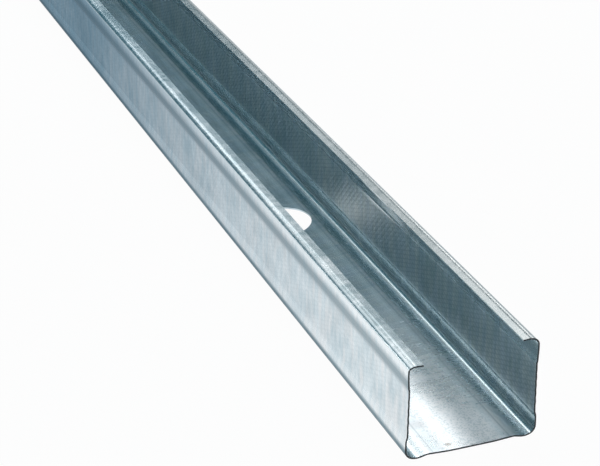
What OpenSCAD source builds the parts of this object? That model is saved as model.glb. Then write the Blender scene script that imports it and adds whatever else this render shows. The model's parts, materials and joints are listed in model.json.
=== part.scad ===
// Drywall metal stud: one roll-formed C section of thin galvanised sheet.
// X runs along the stud, Y across its web, Z up from the back of the web.
// The flange on the -Y side is the lower one, the flange on the +Y side the higher one.

/* [Stock] */
// Length of one stud as it is sold
stud_length = 2500; // [1000:10:4000]
// Thickness of the sheet
sheet = 0.6; // [0.45:0.05:0.8]

/* [Web] */
// Outside width at the foot of the flanges
web_width = 46.5; // [46:0.5:98]
// Height of the step between the corner rails and the ridges of the web
rail_step = 0.62; // [0.45:0.01:0.9]
// Slope of that step
rail_slope = 24; // [20:1:40]
// Middle radius of the two bends of that step
rail_bend = 1.2; // [0.8:0.1:1.5]
// Width of each flat rail at the corners
rail_flat = 2.4; // [1.5:0.1:3]
// Width of each flat ridge beside the rails
ridge_flat = 1.2; // [0.8:0.1:2]
// Width of the slope that falls from a ridge to the middle of the web
dish_slope_width = 5.2; // [4:0.1:6.5]
// Angle of that slope
dish_angle = 2.8; // [1.5:0.1:4]
// Middle radius of the soft bend at the foot of that slope
dish_bend = 60; // [40:5:80]
// Middle radius of the crease at the top of that slope
crease_bend = 1.5; // [1:0.1:3]

/* [Flanges] */
// Height of the lower flange, outside
low_flange = 34; // [32:0.5:50]
// Height of the higher flange, outside
high_flange = 36; // [34:0.5:52]
// Lean of the lower flange towards the mouth, in degrees
low_lean = 2.2; // [0:0.1:3]
// Lean of the higher flange away from the mouth, in degrees
high_lean = 1; // [0:0.1:3]
// Middle radius of the corners between web and flanges
foot_bend = 3; // [2:0.1:3.5]
// Flat of each flange between its foot corner and the recessed panel
foot_flat = 3.2; // [2:0.1:5]
// Flat of each flange between the recessed panel and its lip corner
head_flat = 4; // [2.5:0.1:6]
// Depth of the recessed panel of each flange
panel_recess = 0.4; // [0.3:0.02:0.6]
// Slope of the steps at the panel's edges
panel_slope = 14; // [12:1:30]
// Middle radius of the bends at the panel's edges
panel_bend = 2; // [1:0.1:2.2]

/* [Lips] */
// Middle radius of the corners between flanges and lips
lip_bend = 2.5; // [2:0.1:3]
// Width of the lip on the lower flange, outside
low_lip = 5.4; // [4.5:0.1:8]
// Width of the lip on the higher flange, outside
high_lip = 5.9; // [4.5:0.1:8]

/* [Service holes] */
// Diameter of the round service holes in the web
hole_diameter = 28.5; // [15:0.5:30]
// How many service holes there are
hole_count = 5; // [1:1:6]
// Distance from each end of the stud to its nearest hole centre
hole_end = 190; // [100:5:300]

/* [Hidden] */
$fn = 96;
dish_lean = even(dish_angle);
low_angle = even(low_lean);
high_angle = even(high_lean);
foot_line = web_width / 2 - sheet / 2 - foot_bend;
dish_y = sin(dish_lean) * (dish_bend + crease_bend) + cos(dish_lean) * dish_slope_width;
dish_rise = (1 - cos(dish_lean)) * (dish_bend + crease_bend) + sin(dish_lean) * dish_slope_width;
rail_run = jog_run(rail_step, rail_slope, rail_bend);
web_flat = foot_line - rail_flat - rail_run - ridge_flat - dish_y;
web_height = sheet / 2 + rail_step - dish_rise;
high_reach = foot_line + foot_bend * cos(high_angle) + sheet / 2
    + flange_run(high_flange, -high_angle) * sin(high_angle) + lip_bend * (1 - cos(high_angle));
side_shift = (web_width / 2 - high_reach) / 2;
hole_pitch = (stud_length - 2 * hole_end) / max(1, hole_count - 1);

// The nearest angle whose cosine has five places, so that bends and flats meet exactly
function even(angle) = acos(round(cos(angle) * 100000) / 100000);

// Length of the straight piece between the two bends of a jog
function jog_flat(offset, slope, r) = (offset - 2 * r * (1 - cos(slope))) / sin(slope);

// Distance a jog covers along its direction
function jog_run(offset, slope, r) = 2 * r * sin(slope) + jog_flat(offset, slope, r) * cos(slope);

// A piece of a strip is [length, 0, 0] when flat and [0, angle, middle radius] when bent
function jog(offset, slope, r, side) = [
    [0, side * slope, r],
    [jog_flat(offset, slope, r), 0, 0],
    [0, -side * slope, r]
];

// Half of the web, from its middle to the foot of a flange
function web_half() = concat(
    [[web_flat, 0, 0], [0, dish_lean, dish_bend], [dish_slope_width, 0, 0]],
    [[0, -dish_lean, crease_bend], [ridge_flat, 0, 0]],
    jog(rail_step, rail_slope, rail_bend, -1),
    [[rail_flat, 0, 0]]
);

// Whole straight run of a flange between its two corners
function flange_run(height, lean) =
    (height - sheet - foot_bend * (1 + sin(lean)) - lip_bend * (1 - sin(lean))) / cos(lean);

// A flange with its recessed panel and its lip; a positive lean closes the mouth
function flange(height, lean, lip) = concat(
    [[0, 90 + lean, foot_bend], [foot_flat, 0, 0]],
    jog(panel_recess, panel_slope, panel_bend, 1),
    [[flange_run(height, lean) - foot_flat - head_flat
        - 2 * jog_run(panel_recess, panel_slope, panel_bend), 0, 0]],
    jog(panel_recess, panel_slope, panel_bend, -1),
    [[head_flat, 0, 0], [0, 90 - lean, lip_bend], [lip - sheet / 2 - lip_bend, 0, 0]]
);

// Carries what follows to the end of a bend
module after_bend(angle, r) {
    side = sign(angle);
    translate([0, side * r])
        rotate(angle)
            translate([0, -side * r])
                children();
}

// One bend of the sheet, starting at the origin along +x
module bend(angle, r) {
    reach = 3 * (r + sheet);
    intersection() {
        translate([0, sign(angle) * r])
            difference() {
                circle(r = r + sheet / 2);
                circle(r = r - sheet / 2);
            }
        translate([0, -reach])
            square([reach, 2 * reach]);
        after_bend(angle, r)
            translate([-reach, -reach])
                square([reach, 2 * reach]);
    }
}

// The sheet laid along a list of flats and bends
module strip(path, i = 0) {
    if (i < len(path)) {
        if (path[i][1] == 0) {
            translate([0, -sheet / 2])
                square([path[i][0], sheet]);
            translate([path[i][0], 0])
                strip(path, i + 1);
        } else {
            bend(path[i][1], path[i][2]);
            after_bend(path[i][1], path[i][2])
                strip(path, i + 1);
        }
    }
}

// The section, mouth upwards, standing on the rails of the web
module section() {
    translate([0, web_height]) {
        strip(concat(web_half(), flange(high_flange, -high_angle, high_lip)));
        mirror([1, 0])
            strip(concat(web_half(), flange(low_flange, low_angle, low_lip)));
    }
}

// The round service holes along the middle of the web
module service_holes() {
    for (i = [0 : hole_count - 1])
        translate([stud_length / 2 - hole_end - i * hole_pitch, 0, -1])
            cylinder(d = hole_diameter, h = 5);
}

// One rolled piece, set so that its outside box is centred across the web
module stud() {
    color("silver")
        translate([0, side_shift, 0])
            difference() {
                translate([-stud_length / 2, 0, 0])
                    rotate([90, 0, 90])
                        linear_extrude(height = stud_length)
                            section();
                service_holes();
            }
}

stud();
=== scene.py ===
"""The looks of the drywall metal stud: its fine mesh, galvanised finish, pale floor, lamps and camera."""

import json
import math
from collections import namedtuple

import bpy
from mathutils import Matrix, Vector


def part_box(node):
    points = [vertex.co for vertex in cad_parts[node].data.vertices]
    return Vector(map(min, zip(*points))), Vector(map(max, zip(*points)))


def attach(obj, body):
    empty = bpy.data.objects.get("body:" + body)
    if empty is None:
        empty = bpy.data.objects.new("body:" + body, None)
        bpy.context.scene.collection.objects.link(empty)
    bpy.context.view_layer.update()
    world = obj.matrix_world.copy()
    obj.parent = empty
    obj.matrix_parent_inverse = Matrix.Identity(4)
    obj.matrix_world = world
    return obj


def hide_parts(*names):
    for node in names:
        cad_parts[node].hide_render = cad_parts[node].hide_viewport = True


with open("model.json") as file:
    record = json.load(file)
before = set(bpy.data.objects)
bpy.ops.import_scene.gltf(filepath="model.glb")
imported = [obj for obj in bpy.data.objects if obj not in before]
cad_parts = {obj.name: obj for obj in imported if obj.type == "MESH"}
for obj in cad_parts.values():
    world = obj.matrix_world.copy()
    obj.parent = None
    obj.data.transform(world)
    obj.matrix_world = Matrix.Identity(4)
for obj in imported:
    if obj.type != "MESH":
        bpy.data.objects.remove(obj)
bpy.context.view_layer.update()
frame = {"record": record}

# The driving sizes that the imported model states, in metres
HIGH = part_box("stud")[1]
MOUNTS = {mount["name"]: mount for mount in frame["record"]["mounts"]}
BORES = [mount for name, mount in MOUNTS.items() if name.startswith("service_hole")]
HOLE_RADIUS = BORES[0]["dims"]["r_mm"] / 1000
HOLE_PLACES = sorted(bore["pos_m"][0] for bore in BORES)
WEB_MIDDLE = BORES[0]["pos_m"][1]
END = HIGH.x
HIGH_FLANGE = HIGH.z

# The rest of the section, in metres and radians. Bends go by their middle radius. WEB_FLAT is the result of
# a formula in the part's source, for half the flat in the middle of the web.
SHEET = 0.0006
WEB_WIDTH = 0.0465
CORNER_BEND = 0.0030
DISH_WIDTH, DISH_ANGLE, DISH_BEND = 0.0052, math.radians(3.2), 0.060
CREASE_DIP, CREASE_BEND = math.radians(4), 0.002
WEB_FLAT = 0.006254
RAIL_STEP, RAIL_SLOPE, RAIL_CREST, RAIL_BEND = 0.00062, math.radians(13), 0.0012, 0.006
RAIL_RISE = math.radians(20)
LOW_FLANGE = 0.034
LOW_LEAN, HIGH_LEAN = math.radians(2.2), math.radians(1)
FOOT_RUN, HEAD_RUN = 0.0052, 0.0070
PANEL_RECESS, PANEL_SLOPE, PANEL_BEND, BULGE_BEND = 0.00042, math.radians(15), 0.0015, 0.004
HEAD_SLOPE, HEAD_BEND = math.radians(6), 0.040
LIP_FOLD, LIP_EASE, LIP_DROOP = math.radians(58), 0.004, math.radians(4)
LOW_LIP, HIGH_LIP = 0.0054, 0.0059
LOW_LIP_BEND, HIGH_LIP_BEND = 0.0011, 0.0023

# How finely the mesh follows the section, and the knurl's relief and hatch
BEND_STEP = math.radians(7)
HOLE_SIDES = 72
CELL = 0.1
HOLE_CELL = 0.020
HOLE_TOLERANCE = 1.0001
KNURL_PITCH = 0.0015
KNURL_MARGIN = 0.0006
KNURL_HEIGHT = 0.00005
HATCH_LENGTH, HATCH_HEIGHT = 0.0045, 0.0017

# The finishes of the mesh's faces, in the order of the object's materials
INSIDE, OUTSIDE, CUT = range(3)

# Where the zinc changes over the section
WEB_TOP, WEB_TOP_SOFT = 0.0022, 0.0032
FLANGE_EDGE, FLANGE_EDGE_SOFT = 0.0212, 0.0218
GROOVE_EDGE, GROOVE_EDGE_SOFT = 0.0160, 0.0145
KNURL_LOW, KNURL_HIGH, KNURL_SOFT = 0.0085, 0.0255, 0.0008

# The zinc's greys, each from dark to pale. The outside's are a paler copy of the inside's: painted light.
# Outside, the lips' tops are painted shade at the ends and painted light farther in, and the high lip's top
# is painted shade
INSIDE_COOL = (0.42, 0.52, 0.565), (0.66, 0.73, 0.78)
INSIDE_WARM = (0.45, 0.54, 0.555), (0.72, 0.765, 0.765)
OUTSIDE_COOL = (0.53, 0.65, 0.71), (0.82, 0.90, 0.94)
OUTSIDE_WARM = (0.60, 0.68, 0.72), (0.88, 0.91, 0.93)
LIPS_AT_ENDS = (0.36, 0.42, 0.44), (0.58, 0.60, 0.61)
LIPS_FARTHER_IN = (0.54, 0.65, 0.71), (0.78, 0.85, 0.90)
HIGH_LIP_SHADE = (0.30, 0.30, 0.29)
CUT_DARK, CUT_PALE = (0.030, 0.034, 0.038), (0.060, 0.066, 0.072)

# The marks on the zinc: a painted sheen on the web's near end, specks, painted highlights along the bends,
# painted shade in the folds and the knurl's pits, a stain and a smudge; and tints of painted shade that
# darken it away from the ends
SHEEN_PALE = (0.94, 0.92, 0.92)
SPECK = (0.32, 0.42, 0.45)
HIGHLIGHT_PALE = (0.88, 0.95, 0.98)
SHADE_GREY = (0.20, 0.29, 0.33)
PIT_SHADE_GREY = (0.20, 0.30, 0.34)
STAIN = (0.30, 0.26, 0.23)
SMUDGE = (0.45, 0.38, 0.38)
STAIN_PLACE, STAIN_RADIUS = (END - 0.0034, -0.0069, 0.001), 0.0016
SMUDGE_PLACE, SMUDGE_RADIUS = (END - 0.0185, -0.0114, 0.001), 0.0040
WHITE = (1, 1, 1)
FAR_SHADE_WEB = (0.72, 0.84, 0.90)
FAR_SHADE_OUTSIDE = (0.40, 0.50, 0.57)
FAR_SHADE_EDGE_TINT = (0.35, 0.42, 0.47)
SHADE_EDGE_TINT = (0.36, 0.42, 0.46)

# The room: a white floor and backdrop, dim blue-green above the backdrop's edge, and softboxes
FLOOR_HALF, FLOOR_GAP, FLOOR_WHITE = 6.0, 0.0002, 0.97
PAPER = (0.85, 0.85, 0.85)
ROOM = (0.04, 0.145, 0.185)
BACKDROP_RISE, BACKDROP_TOP = math.sin(math.radians(9)), math.sin(math.radians(13))
LAMP_DISTANCE = 3.0
LAMP_AIM = Vector((END - 0.2, 0, 0))

# The camera, in metres, degrees and millimetres: one view, solved by a separate program and rounded
CAMERA_PLACE = (1.77243, -0.24214, 0.34253)
CAMERA_TURN = (65.231, 1.208, 69.972)
CAMERA_LENS, CAMERA_SENSOR, CAMERA_NEAR = 122.6, 36, 0.01

Piece = namedtuple("Piece", "length angle radius knurled")
Station = namedtuple("Station", "y z out_y out_z row")
Places = namedtuple("Places", "point along reach aside above below on_web on_flange under_lip")


def flat(length, knurled=False):
    """A flat piece of the section; a knurled one carries the rolled pyramids."""
    return Piece(length, 0, 0, knurled)


def bend(angle, radius):
    """A bent piece of the section, by its turn and its middle radius."""
    return Piece(0, angle, radius, False)


def jog(offset, slope, first, last, side):
    """Two bends, of radius first and last, with a flat between them, that shift the sheet by offset."""
    between = (offset - (first + last) * (1 - math.cos(slope))) / math.sin(slope)
    return [bend(side * slope, first), flat(between), bend(-side * slope, last)]


def run_of(pieces, heading=0.0):
    """How far a list of pieces reaches along the way it starts."""
    run = 0.0
    for piece in pieces:
        run += piece.length * math.cos(heading)
        if piece.angle:
            side = math.copysign(1, piece.angle)
            run += side * piece.radius * (math.sin(heading + piece.angle) - math.sin(heading))
            heading += piece.angle
    return run


def rise_of(pieces, heading=0.0):
    """How far a list of pieces climbs aside from the way it starts."""
    rise = 0.0
    for piece in pieces:
        rise += piece.length * math.sin(heading)
        if piece.angle:
            side = math.copysign(1, piece.angle)
            rise += side * piece.radius * (math.cos(heading) - math.cos(heading + piece.angle))
            heading += piece.angle
    return rise


# The web's middle, slope and crease, and the groove beside a foot
DISH = [
    flat(WEB_FLAT),
    bend(DISH_ANGLE, DISH_BEND),
    flat(DISH_WIDTH),
    bend(-DISH_ANGLE - CREASE_DIP, CREASE_BEND),
    bend(CREASE_DIP, CREASE_BEND),
]
WEB_HEIGHT = SHEET / 2 + RAIL_STEP - rise_of(DISH)
RAIL = jog(RAIL_STEP, RAIL_SLOPE, RAIL_CREST, RAIL_BEND, -1) + [bend(RAIL_RISE, RAIL_BEND)]


def web_half():
    """Half of the web, from its middle to the foot of a flange."""
    corner = CORNER_BEND * (1 - math.sin(RAIL_RISE))
    ridge = WEB_WIDTH / 2 - SHEET / 2 - corner - run_of(DISH) - run_of(RAIL)
    return DISH + [flat(ridge)] + RAIL


def flange(height, lean, lip, lip_bend):
    """A flange with its knurled panel and its lip; a positive lean closes the mouth."""
    groove_rise = RAIL_BEND * (1 - math.cos(RAIL_RISE))
    foot_rise = groove_rise + CORNER_BEND * (math.cos(RAIL_RISE) + math.sin(lean))
    lip_bends = [bend(LIP_FOLD, lip_bend), bend(math.pi / 2 - lean - LIP_FOLD, LIP_EASE)]
    droop = bend(LIP_DROOP, LIP_EASE)
    upright = math.pi / 2 + lean
    run = (height - SHEET - foot_rise - rise_of(lip_bends, upright)) / math.cos(lean)
    foot_jog = jog(PANEL_RECESS, PANEL_SLOPE, BULGE_BEND, PANEL_BEND, 1)
    crown = [bend(PANEL_SLOPE - HEAD_SLOPE, BULGE_BEND), bend(HEAD_SLOPE, HEAD_BEND)]
    step = PANEL_RECESS + rise_of([bend(-PANEL_SLOPE, PANEL_BEND)]) + rise_of(crown, -PANEL_SLOPE)
    head_jog = [bend(-PANEL_SLOPE, PANEL_BEND), flat(step / math.sin(PANEL_SLOPE))] + crown
    foot, head = flat(FOOT_RUN - run_of(foot_jog)), flat(HEAD_RUN - run_of(head_jog))
    return (
        [bend(upright - RAIL_RISE, CORNER_BEND), foot]
        + foot_jog
        + [flat(run - FOOT_RUN - HEAD_RUN, knurled=True)]
        + head_jog
        + [head]
        + lip_bends
        + [droop, flat(lip - SHEET / 2 + run_of(lip_bends, upright) - LIP_EASE * LIP_DROOP)]
    )


def walk(pieces, stops):
    """The stations along half a section: y, z, the way it heads there, and the knurl's row with the count of
    rows. Stops are distances across the web where a station is needed."""
    y, z, heading = 0.0, WEB_HEIGHT, 0.0
    stations = [(y, z, heading, None)]
    for piece in pieces:
        if piece.angle:
            side = math.copysign(1, piece.angle)
            middle_y = y - side * piece.radius * math.sin(heading)
            middle_z = z + side * piece.radius * math.cos(heading)
            steps = math.ceil(abs(piece.angle) / BEND_STEP)
            turns = [heading + piece.angle * (i + 1) / steps for i in range(steps)]
            reach = [(stop - middle_y) / piece.radius for stop in stops]
            turns += [math.asin(r) for r in reach if math.sin(heading) < r < math.sin(heading + piece.angle)]
            for turn in sorted(turns, key=lambda turn: side * turn):
                place = (middle_y + side * piece.radius * math.sin(turn),
                         middle_z - side * piece.radius * math.cos(turn))
                stations.append((*place, turn, None))
            heading += piece.angle
        else:
            along = [(stop - y) / math.cos(heading) for stop in stops]
            marks = [(s, None) for s in along if 0 < s < piece.length] + [(piece.length, None)]
            if piece.knurled:
                rows = round((piece.length - 2 * KNURL_MARGIN) / KNURL_PITCH)
                marks += [(KNURL_MARGIN + (piece.length - 2 * KNURL_MARGIN) * row / rows, (row, rows))
                          for row in range(rows + 1)]
            for s, row in sorted(marks, key=lambda mark: mark[0]):
                stations.append((y + s * math.cos(heading), z + s * math.sin(heading), heading, row))
        y, z = stations[-1][:2]
    return stations


def section():
    """Every station from the low flange's lip to the high one's."""
    stops = [HOLE_RADIUS * math.sin(2 * math.pi * i / HOLE_SIDES) for i in range(HOLE_SIDES // 4 + 1)]
    high = walk(web_half() + flange(HIGH_FLANGE, -HIGH_LEAN, HIGH_LIP, HIGH_LIP_BEND), stops)
    low = walk(web_half() + flange(LOW_FLANGE, LOW_LEAN, LOW_LIP, LOW_LIP_BEND), stops)
    one = [Station(WEB_MIDDLE - y, z, -math.sin(a), -math.cos(a), row) for y, z, a, row in reversed(low[1:])]
    other = [Station(WEB_MIDDLE + y, z, math.sin(a), -math.cos(a), row) for y, z, a, row in high]
    return one + other


def cell_edges():
    """Where the mesh is divided along the stud: a short cell round each hole and even ones between."""
    edges = [-END]
    for place in HOLE_PLACES + [None]:
        until = END if place is None else place - HOLE_CELL
        start = edges[-1]
        count = max(1, round((until - start) / CELL))
        edges += [start + (until - start) * i / count for i in range(1, count + 1)]
        if place is not None:
            edges.append(place + HOLE_CELL)
    return edges


class Skin:
    """Collects the vertices, faces and exact corner normals of the rolled sheet."""

    def __init__(self):
        self.points = []
        self.faces = []
        self.normals = []
        self.finishes = []

    def add(self, points):
        """Adds vertices and returns their numbers."""
        first = len(self.points)
        self.points.extend(points)
        return list(range(first, len(self.points)))

    def face(self, corners, normals, finish):
        """Adds a face with a normal for each corner and the number of its finish."""
        self.faces.append(corners)
        self.normals.extend(normals)
        self.finishes.append(finish)


def knurl_lift(station, column):
    """How far a knurl's point is pressed out or in: alternate points of a square grid."""
    row, rows = station.row
    if row in (0, rows):
        return 0
    return KNURL_HEIGHT if (row + column) % 2 else -KNURL_HEIGHT


def chord(station):
    """Half the width of a service hole at this station, or None beside the hole."""
    off = abs(station.y - WEB_MIDDLE)
    if station.z > 2 * RAIL_STEP + SHEET or off > HOLE_RADIUS * HOLE_TOLERANCE:
        return None
    return math.sqrt(max(0.0, HOLE_RADIUS ** 2 - off ** 2))


def line_places(station, edges):
    """The places along the stud of one station's vertices, for each cell a list of runs of solid sheet."""
    cells = []
    half = chord(station)
    for start, stop in zip(edges, edges[1:]):
        hole = next((place for place in HOLE_PLACES if start < place < stop), None)
        if station.row is not None:
            steps = round((stop - start) / KNURL_PITCH)
            cells.append([[start + (stop - start) * i / steps for i in range(steps + 1)]])
        elif hole is not None and half is not None:
            cells.append([[start, hole - half], [hole + half, stop]])
        else:
            cells.append([[start, stop]])
    return cells


def lay_line(skin, station, edges, side):
    """Adds one station's vertices on the outer (side 1) or inner (side -1) face of the sheet, and returns
    their numbers for each run of each cell."""
    numbers, known, column = [], {}, 0
    for runs in line_places(station, edges):
        cell = []
        for run in runs:
            run_numbers = []
            for place in run:
                key = round(place, 7)
                if key not in known:
                    lift = knurl_lift(station, column) if station.row is not None else 0
                    off = side * SHEET / 2 + lift
                    point = (place, station.y + station.out_y * off, station.z + station.out_z * off)
                    known[key] = skin.add([point])[0]
                    column += 1
                run_numbers.append(known[key])
            cell.append(run_numbers)
        numbers.append(cell)
    return numbers


def facet(skin, corners, finish):
    """A flat triangle of the knurl, with its own normal."""
    a, b, c = (Vector(skin.points[i]) for i in corners)
    skin.face(corners, [tuple((b - a).cross(c - a).normalized())] * 3, finish)


def knurl_cell(skin, lower, upper, parity, finish):
    """Facets between two lines of the knurl: each high or low point is the tip of a small pyramid."""
    for i in range(len(lower) - 1):
        a, b, c, d = lower[i], lower[i + 1], upper[i + 1], upper[i]
        halves = ((a, b, c), (a, c, d)) if (i + parity) % 2 else ((a, b, d), (b, c, d))
        for corners in halves:
            facet(skin, corners[::-1] if finish == OUTSIDE else corners, finish)


def sheet_face(skin, stations, edges, side):
    """One whole face of the sheet. Returns the numbers of its lines."""
    lines = [lay_line(skin, station, edges, side) for station in stations]
    finish = OUTSIDE if side > 0 else INSIDE
    for i in range(len(stations) - 1):
        one, two = stations[i], stations[i + 1]
        knurled = one.row is not None and two.row is not None
        column = 0
        for cell_one, cell_two in zip(lines[i], lines[i + 1]):
            if knurled:
                parity = column + one.row[0]
                knurl_cell(skin, cell_one[0], cell_two[0], parity, finish)
                column += len(cell_one[0]) - 1
                continue
            if len(cell_one) != len(cell_two):
                cell_one, cell_two = joined(cell_one), joined(cell_two)
            for run_one, run_two in zip(cell_one, cell_two):
                corners = run_one + run_two[::-1]
                normals = [side_normal(one, side)] * len(run_one) + [side_normal(two, side)] * len(run_two)
                if side > 0:
                    corners, normals = corners[::-1], normals[::-1]
                skin.face(corners, normals, finish)
    return lines


def joined(cell):
    """The runs of a cell as one run, where a line only touches the hole's edge."""
    whole = []
    for run in cell:
        whole += [number for number in run if number not in whole]
    return [whole]


def side_normal(station, side):
    """The normal of the outer (side 1) or inner (side -1) face of the sheet."""
    return (0.0, side * station.out_y, side * station.out_z)


def build_stud():
    """The rolled sheet as one closed mesh."""
    stations, edges, skin = section(), cell_edges(), Skin()
    outer = sheet_face(skin, stations, edges, 1)
    inner = sheet_face(skin, stations, edges, -1)
    for i in range(len(stations) - 1):
        for cell, run, corner, way in ((0, 0, 0, -1), (-1, -1, -1, 1)):
            a, b = outer[i][cell][run][corner], outer[i + 1][cell][run][corner]
            c, d = inner[i + 1][cell][run][corner], inner[i][cell][run][corner]
            corners = [a, b, c, d] if way > 0 else [d, c, b, a]
            skin.face(corners, [(way, 0.0, 0.0)] * 4, CUT)
        hole_walls(skin, edges, outer, inner, i)
    for line, way in ((0, -1), (-1, 1)):
        station = stations[line]
        normal = (0.0, -way * station.out_z, way * station.out_y)
        for cell_out, cell_in in zip(outer[line], inner[line]):
            a, b, c, d = cell_out[0][0], cell_out[0][-1], cell_in[0][-1], cell_in[0][0]
            corners = [d, c, b, a] if way > 0 else [a, b, c, d]
            skin.face(corners, [normal] * 4, INSIDE)
    return skin


def hole_walls(skin, edges, outer, inner, i):
    """The walls of the service holes between stations i and i + 1."""
    for cell, (start, stop) in enumerate(zip(edges, edges[1:])):
        if len(outer[i][cell]) < 2 or len(outer[i + 1][cell]) < 2:
            continue
        hole = (start + stop) / 2
        for run, corner, way in ((0, -1, 1), (1, 0, -1)):
            a, b = outer[i][cell][run][corner], outer[i + 1][cell][run][corner]
            c, d = inner[i + 1][cell][run][corner], inner[i][cell][run][corner]
            corners = [a, b, c, d] if way > 0 else [d, c, b, a]
            normals = []
            for number in corners:
                x, y, _ = skin.points[number]
                inward = Vector((hole - x, WEB_MIDDLE - y, 0)).normalized()
                normals.append(tuple(inward))
            skin.face(corners, normals, INSIDE)


def make_mesh(name, skin):
    """A Blender object from a skin."""
    mesh = bpy.data.meshes.new(name)
    mesh.from_pydata(skin.points, [], skin.faces)
    mesh.polygons.foreach_set("material_index", skin.finishes)
    mesh.shade_smooth()
    mesh.normals_split_custom_set(skin.normals)
    obj = bpy.data.objects.new(name, mesh)
    bpy.context.scene.collection.objects.link(obj)
    return obj


# Materials

def add_node(tree, kind, **values):
    """A new node. A value goes to the input of that name, or i3 to input number 3. A socket is linked."""
    node = tree.nodes.new(kind)
    for name, value in values.items():
        if name in ("operation", "blend_type", "data_type"):
            setattr(node, name, value)
            continue
        place = node.inputs[int(name[1:])] if name[0] == "i" and name[1:].isdigit() else node.inputs[name]
        if isinstance(value, bpy.types.NodeSocket):
            tree.links.new(value, place)
        else:
            place.default_value = value
    return node


def math_node(tree, operation, *values):
    """The result of one step of arithmetic on numbers or sockets."""
    inputs = {f"i{place}": value for place, value in enumerate(values)}
    return add_node(tree, "ShaderNodeMath", operation=operation, **inputs).outputs[0]


def new_material(name):
    """A material with one Principled shader, its node tree and that shader."""
    material = bpy.data.materials.new(name)
    material.use_nodes = True
    tree = material.node_tree
    tree.nodes.clear()
    shader = tree.nodes.new("ShaderNodeBsdfPrincipled")
    out = tree.nodes.new("ShaderNodeOutputMaterial")
    tree.links.new(shader.outputs["BSDF"], out.inputs["Surface"])
    return material, tree, shader


def noise(tree, place, scale, detail, stretch=None):
    """Noise from the object's own coordinates, with a scale for each axis where stretch is given."""
    if stretch is not None:
        place = add_node(tree, "ShaderNodeMapping", Vector=place, Scale=stretch).outputs["Vector"]
    return add_node(tree, "ShaderNodeTexNoise", Vector=place, Scale=scale, Detail=detail).outputs["Fac"]


def ramp(tree, value, low, high, to_low, to_high):
    """Value spread from low..high to to_low..to_high."""
    node = add_node(tree, "ShaderNodeMapRange", i0=value, i1=low, i2=high, i3=to_low, i4=to_high)
    return node.outputs["Result"]


def sums(tree, *shares):
    """The weighted sum of (socket, weight) pairs."""
    total = 0.0
    for socket, weight in shares:
        total = math_node(tree, "MULTIPLY_ADD", socket, weight, total)
    return total


def times(tree, one, two):
    """The product of two numbers or sockets."""
    return math_node(tree, "MULTIPLY", one, two)


def blend(tree, share, low, high):
    """A colour between low and high, which are plain colours or sockets."""
    return mixed(tree, "MIX", share, low, high)


def multiplied_by_tint(tree, colour, share, tint):
    """A colour multiplied by a tint where share is 1."""
    return mixed(tree, "MULTIPLY", 1.0, colour, blend(tree, share, WHITE, tint))


def mixed(tree, way, share, low, high):
    """Two colours mixed in Blender's way of that name."""
    node = add_node(tree, "ShaderNodeMix", data_type="RGBA", blend_type=way, i0=share)
    for place, colour in ((6, low), (7, high)):
        if isinstance(colour, bpy.types.NodeSocket):
            tree.links.new(colour, node.inputs[place])
        else:
            node.inputs[place].default_value = (*colour, 1)
    return node.outputs[2]


def spot(tree, place, middle, radius):
    """A soft round mark on the sheet, 1 at its middle."""
    away = add_node(tree, "ShaderNodeVectorMath", operation="DISTANCE", i0=place, i1=middle).outputs["Value"]
    return ramp(tree, away, radius, radius * 0.3, 0.0, 1.0)


def band(tree, value, low, high, soft):
    """1 between low and high, with soft edges."""
    rising = ramp(tree, value, low - soft, low + soft, 0.0, 1.0)
    falling = ramp(tree, value, high + soft, high - soft, 0.0, 1.0)
    return times(tree, rising, falling)


def hatch(tree, along, above):
    """The fine hatch of the knurl: the greater of two waves with crests along slanting lines that cross."""
    slants = []
    for side in (1, -1):
        phase = sums(tree, (along, 2 * math.pi / HATCH_LENGTH), (above, side * 2 * math.pi / HATCH_HEIGHT))
        slants.append(math_node(tree, "SINE", phase))
    return math_node(tree, "MAXIMUM", *slants)


def places_on_section(tree):
    """Where a point of the sheet is: its place along the stud, its reach from the middle, how far aside,
    above the floor and below its flange's top it is, and whether on the web, on a flange and under a lip."""
    point = tree.nodes.new("ShaderNodeTexCoord").outputs["Object"]
    axes = add_node(tree, "ShaderNodeSeparateXYZ", Vector=point).outputs
    along, above = axes["X"], axes["Z"]
    reach = math_node(tree, "ABSOLUTE", along)
    aside = math_node(tree, "ABSOLUTE", axes["Y"])
    top = ramp(tree, axes["Y"], -0.001, 0.001, LOW_FLANGE, HIGH_FLANGE)
    below = sums(tree, (above, -1.0), (top, 1.0))
    on_web = ramp(tree, above, WEB_TOP_SOFT, WEB_TOP, 0.0, 1.0)
    on_flange = ramp(tree, aside, FLANGE_EDGE, FLANGE_EDGE_SOFT, 0.0, 1.0)
    under_lip = ramp(tree, below, 0.0005, 0.0012, 0.0, 1.0)
    return Places(point, along, reach, aside, above, below, on_web, on_flange, under_lip)


def zinc_tone(tree, at, outside):
    """How pale the zinc is: clouds, crystals drawn out across the roll and faint lines along it."""
    clouds = noise(tree, at.point, 45, 3)
    crystals = noise(tree, at.point, 1, 3, stretch=(380, 130, 130) if outside else (560, 120, 120))
    roll_lines = noise(tree, at.point, 1, 2, stretch=(6, 900, 900))
    return sums(tree, (clouds, 0.42), (crystals, 0.46), (roll_lines, 0.12))


def two_greys(tree, share, tint, cool, warm):
    """A grey from dark to pale by share, and from cool to warm by tint."""
    return blend(tree, tint, blend(tree, share, *cool), blend(tree, share, *warm))


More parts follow.
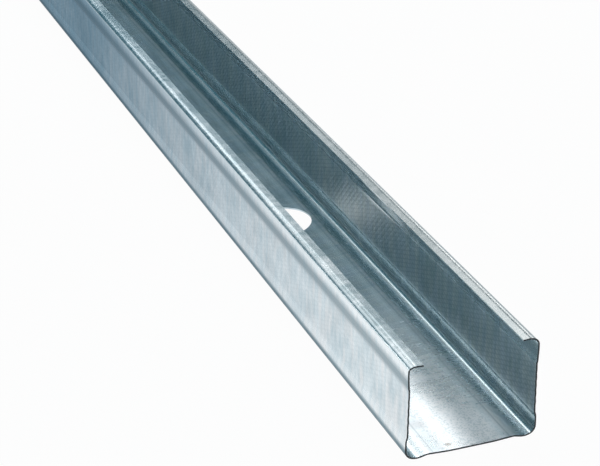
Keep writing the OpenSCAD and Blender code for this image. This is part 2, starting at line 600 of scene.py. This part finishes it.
def bare_zinc(tree, at, tone, outside):
    """The zinc before any marks, calmer and paler in the groove. Outside it is paler, painted light, and the
    lips' tops get painted shade at the ends, painted light farther in and, on the high lip, more painted
    shade.
    """
    groove = times(tree, at.on_web, ramp(tree, at.aside, GROOVE_EDGE_SOFT, GROOVE_EDGE, 0.0, 1.0))
    calm = ramp(tree, groove, 0.0, 1.0, 1.0, 0.3)
    share = sums(tree, (times(tree, ramp(tree, tone, 0.39, 0.61, 0.0, 1.0), calm), 1.0), (groove, 0.35))
    tint = ramp(tree, noise(tree, at.point, 1, 2, stretch=(300, 60, 60)), 0.4, 0.6, 0.0, 1.0)
    if not outside:
        return two_greys(tree, share, tint, INSIDE_COOL, INSIDE_WARM)
    # Painted shade on the lips' tops at the ends and painted light farther in
    farther_in = ramp(tree, at.reach, END - 0.10, END - 0.35, 0.0, 1.0)
    lips = two_greys(tree, share, farther_in, LIPS_AT_ENDS, LIPS_FARTHER_IN)
    # Outside: a paler copy of the inside's greys, painted light
    flanges = two_greys(tree, share, tint, OUTSIDE_COOL, OUTSIDE_WARM)
    zinc = blend(tree, at.under_lip, lips, flanges)
    # Painted shade on the high lip's top
    high_lip = ramp(tree, at.above, HIGH_FLANGE - 0.0012, HIGH_FLANGE - 0.0006, 0.0, 1.0)
    return blend(tree, times(tree, high_lip, 0.7), zinc, HIGH_LIP_SHADE)


def near_end_sheen(tree, at):
    """A painted sheen that makes the web paler at its near end, and the dark specks in its middle."""
    near_end = times(tree, at.on_web, ramp(tree, at.along, END - 0.13, END - 0.03, 0.0, 1.0))
    sheen_share = times(tree, near_end, ramp(tree, at.aside, 0.0215, 0.0155, 0.0, 1.0))
    middle = times(tree, sheen_share, ramp(tree, at.aside, 0.015, 0.011, 0.0, 1.0))
    specks = times(tree, middle, ramp(tree, noise(tree, at.point, 1500, 1), 0.50, 0.60, 0.0, 1.0))
    return sheen_share, specks


def highlighted_strips(tree, at):
    """Painted highlights along the bends: a flange's head and foot, the groove's edge and the crease."""
    return sums(
        tree,
        (times(tree, at.on_flange, band(tree, at.below, 0.0006, 0.0026, 0.0006)), 1.0),
        (times(tree, at.on_flange, band(tree, at.above, 0.0055, 0.0078, 0.0006)), 0.3),
        (times(tree, at.on_web, band(tree, at.aside, 0.0190, 0.0209, 0.0006)), 1.0),
        (times(tree, at.on_web, band(tree, at.aside, 0.0108, 0.0130, 0.0010)), 0.5),
    )


def shaded_strips(tree, at, outside):
    """Painted shade in the folds: a flange's head, foot and top, in the groove and beside the crease."""
    return sums(
        tree,
        (times(tree, at.on_flange, band(tree, at.below, 0.0042, 0.0084, 0.0012)), 0.85),
        (times(tree, at.on_flange, band(tree, at.above, -0.0010, 0.0045, 0.0008)), 1.2 if outside else 0.3),
        (times(tree, at.on_web, band(tree, at.aside, 0.0160, 0.0180, 0.0005)), 0.3),
        (times(tree, at.on_web, band(tree, at.aside, 0.0133, 0.0139, 0.0002)), 0.5),
        (times(tree, at.on_flange, band(tree, at.below, 0.0000, 0.0005, 0.0002)), 1.2),
    )


def emboss(tree, shader, height):
    """A very shallow bump."""
    bump = add_node(tree, "ShaderNodeBump", Height=height, Strength=0.06, Distance=0.00005)
    tree.links.new(bump.outputs["Normal"], shader.inputs["Normal"])


def galvanised(name, outside):
    """Zinc-coated sheet, made as a paler copy for the outside (painted light) and a darker one for the
    inside: cloudy bluish grey, with painted highlights along the bends, painted shade in the folds and the
    knurl's pits, painted shade away from the ends, and on the web at the near end a painted sheen, specks
    and a little stain."""
    material, tree, shader = new_material(name)
    at = places_on_section(tree)
    tone = zinc_tone(tree, at, outside)
    patchy = ramp(tree, tone, 0.38, 0.60, 0.8, 1.0)
    # A painted sheen on the web at the near end, with the specks inside it
    sheen_share, specks = near_end_sheen(tree, at)
    # Painted highlights along the bends
    highlight_share = times(tree, highlighted_strips(tree, at), patchy)
    # Painted shade in the folds
    shade_share = times(tree, times(tree, shaded_strips(tree, at, outside), patchy), 0.75)
    knurled = times(tree, at.on_flange, band(tree, at.above, KNURL_LOW, KNURL_HIGH, KNURL_SOFT))
    # Painted shade in the knurl's pits, stronger inside than outside
    pit_shade = times(tree, knurled, ramp(tree, hatch(tree, at.along, at.above), 0.2, 0.9, 0.0, 1.0))

    zinc = bare_zinc(tree, at, tone, outside)
    # The marks over the zinc in turn: painted sheen, specks, painted highlights, painted shade, painted
    # shade in the knurl's pits, a stain and a smudge
    for share, colour in (
        (times(tree, sheen_share, 0.8), SHEEN_PALE),
        (times(tree, specks, 0.35), SPECK),
        (times(tree, highlight_share, 0.9), HIGHLIGHT_PALE),
        (shade_share, SHADE_GREY),
        (times(tree, pit_shade, 0.08 if outside else 0.34), PIT_SHADE_GREY),
        (times(tree, spot(tree, at.point, STAIN_PLACE, STAIN_RADIUS), 0.75), STAIN),
        (times(tree, spot(tree, at.point, SMUDGE_PLACE, SMUDGE_RADIUS), 0.25), SMUDGE),
    ):
        zinc = blend(tree, share, zinc, colour)

    # Painted shade that darkens the zinc away from the ends: outside below the lips' tops and in the
    # specular tint, inside on the web's middle
    inwards = ramp(tree, at.reach, END - 0.04, END - 0.40, 0.0, 1.0)
    if outside:
        far = times(tree, at.under_lip, inwards)
        zinc = multiplied_by_tint(tree, zinc, far, FAR_SHADE_OUTSIDE)
        # The specular tint takes the painted shade too: in the folds and away from the ends
        edge_tint = blend(tree, shade_share, blend(tree, far, WHITE, FAR_SHADE_EDGE_TINT), SHADE_EDGE_TINT)
        tree.links.new(edge_tint, shader.inputs["Specular Tint"])
    else:
        dish = times(tree, at.on_web, ramp(tree, at.aside, 0.0145, 0.0115, 0.0, 1.0))
        zinc = multiplied_by_tint(tree, zinc, times(tree, dish, inwards), FAR_SHADE_WEB)
    tree.links.new(zinc, shader.inputs["Base Color"])
    shader.inputs["Metallic"].default_value = 1.0

    gloss = ramp(tree, tone, 0.36, 0.64, 0.20, 0.27)
    roughness = sums(tree, (sheen_share, 0.06), (knurled, 0.12 if outside else 0.24), (gloss, 1.0))
    tree.links.new(roughness, shader.inputs["Roughness"])
    emboss(tree, shader, sums(tree, (tone, 0.7), (specks, -0.3)))
    return material


def cut_steel():
    """The sawn ends of the sheet: bare, dull and dark."""
    material, tree, shader = new_material("cut_edge")
    place = tree.nodes.new("ShaderNodeTexCoord").outputs["Object"]
    colour = blend(tree, noise(tree, place, 2500, 2), CUT_DARK, CUT_PALE)
    tree.links.new(colour, shader.inputs["Base Color"])
    shader.inputs["Metallic"].default_value = 0.6
    shader.inputs["Roughness"].default_value = 0.55
    return material


# The room, the lamps and the camera

def background_share(tree):
    """1 for the rays that show the background: the camera's own and those that metal or glass sends on."""
    path = tree.nodes.new("ShaderNodeLightPath").outputs
    share = path["Is Camera Ray"]
    for kind in ("Is Glossy Ray", "Is Transmission Ray"):
        share = math_node(tree, "MAXIMUM", share, path[kind])
    return share


def floor_paint():
    """Pale paper, nearly white for the rays that show the background, with a trace of the stud's shadow."""
    material = bpy.data.materials.new("white_floor")
    material.use_nodes = True
    tree = material.node_tree
    tree.nodes.clear()
    out = tree.nodes.new("ShaderNodeOutputMaterial")
    paper = add_node(tree, "ShaderNodeBsdfDiffuse", Color=(*PAPER, 1))
    white = add_node(tree, "ShaderNodeEmission", Color=(*WHITE, 1), Strength=1.0)
    share = times(tree, background_share(tree), FLOOR_WHITE)
    mix = add_node(tree, "ShaderNodeMixShader", i0=share, i1=paper.outputs[0], i2=white.outputs[0])
    tree.links.new(mix.outputs[0], out.inputs["Surface"])
    return material


def make_floor():
    """A square floor just below the stud."""
    mesh = bpy.data.meshes.new("floor")
    corners = [(x * FLOOR_HALF, y * FLOOR_HALF, 0) for x, y in ((-1, -1), (1, -1), (1, 1), (-1, 1))]
    mesh.from_pydata(corners, [], [(0, 1, 2, 3)])
    floor = bpy.data.objects.new("floor", mesh)
    bpy.context.scene.collection.objects.link(floor)
    floor.location.z = -FLOOR_GAP
    mesh.materials.append(floor_paint())


def make_world():
    """White up to the backdrop's edge for the rays that show the background, and a dim blue-green room."""
    world = bpy.data.worlds.new("studio")
    bpy.context.scene.world = world
    world.use_nodes = True
    tree = world.node_tree
    tree.nodes.clear()
    out = tree.nodes.new("ShaderNodeOutputWorld")
    room = add_node(tree, "ShaderNodeBackground", Color=(*ROOM, 1), Strength=1.0)
    white = add_node(tree, "ShaderNodeBackground", Color=(*WHITE, 1), Strength=1.0)
    way = tree.nodes.new("ShaderNodeTexCoord").outputs["Generated"]
    rise = add_node(tree, "ShaderNodeSeparateXYZ", Vector=way).outputs["Z"]
    backdrop = ramp(tree, rise, BACKDROP_TOP, BACKDROP_RISE, 0.0, 1.0)
    share = times(tree, background_share(tree), backdrop)
    mix = add_node(tree, "ShaderNodeMixShader", i0=share, i1=room.outputs[0], i2=white.outputs[0])
    tree.links.new(mix.outputs[0], out.inputs["Surface"])


def sky_panel(name, azimuth, elevation, width, height, level):
    """A softbox aimed at the near part of the stud, placed and sized by angles in degrees. Azimuth turns
    from the stud's near end. Level is the brightness of its face: 1 shows as white in a mirror."""
    turn, rise = math.radians(azimuth), math.radians(elevation)
    way = Vector((math.cos(turn) * math.cos(rise), math.sin(turn) * math.cos(rise), math.sin(rise)))
    light = bpy.data.lights.new(name, "AREA")
    light.shape = "RECTANGLE"
    light.size = 2 * LAMP_DISTANCE * math.tan(math.radians(width / 2)) * math.cos(rise)
    light.size_y = 2 * LAMP_DISTANCE * math.tan(math.radians(height / 2))
    light.energy = level * math.pi * light.size * light.size_y
    lamp = bpy.data.objects.new(name, light)
    lamp.location = LAMP_AIM + LAMP_DISTANCE * way
    lamp.rotation_euler = (-way).to_track_quat("-Z", "Y").to_euler()
    lamp.visible_camera = False
    bpy.context.scene.collection.objects.link(lamp)


def make_lamps():
    """The softboxes. A least-squares fit to the metal's tones in the reference picture chose which
    cells of the sky they fill and their levels, here rounded. Only low_middle, upper_left and the level of
    left were set one by one."""
    sky_panel("horizon_softbox", 143.5, 16.5, 13, 7, 3.9)
    sky_panel("low_left_softbox", 156.5, 23, 13, 6, 0.7)
    sky_panel("side_softbox", 223, 23, 18, 6, 6.0)
    sky_panel("back_softbox", 171.5, 29, 17, 6, 3.0)
    sky_panel("low_middle_softbox", 156.5, 31, 13, 4, 0.7)
    sky_panel("left_softbox", 156.5, 36, 13, 8, 2.5)
    sky_panel("upper_left_softbox", 156.5, 45, 13, 10, 4.0)
    sky_panel("right_softbox", 188, 36, 16, 8, 1.5)
    sky_panel("high_left_softbox", 143.5, 45, 13, 10, 5.4)
    sky_panel("high_back_softbox", 171.5, 45, 17, 10, 1.3)
    sky_panel("high_right_softbox", 188, 45, 16, 10, 2.6)
    sky_panel("high_side_softbox", 205, 45, 18, 10, 1.9)
    sky_panel("top_left_softbox", 156.5, 57, 13, 14, 6.7)
    sky_panel("top_softbox", 171.5, 57, 17, 14, 11.7)


def make_camera():
    """The scene's camera."""
    lens = bpy.data.cameras.new("camera")
    lens.sensor_width = CAMERA_SENSOR
    lens.lens = CAMERA_LENS
    lens.clip_start = CAMERA_NEAR
    camera = bpy.data.objects.new("camera", lens)
    camera.location = CAMERA_PLACE
    camera.rotation_euler = [math.radians(angle) for angle in CAMERA_TURN]
    bpy.context.scene.collection.objects.link(camera)
    bpy.context.scene.camera = camera


stud = make_mesh("rolled_stud", build_stud())
for finish in (galvanised("galvanised_inside", False), galvanised("galvanised_outside", True), cut_steel()):
    stud.data.materials.append(finish)
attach(stud, "root")
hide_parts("stud")

make_floor()
make_world()
make_lamps()
make_camera()
bpy.context.scene.view_settings.view_transform = "Standard"
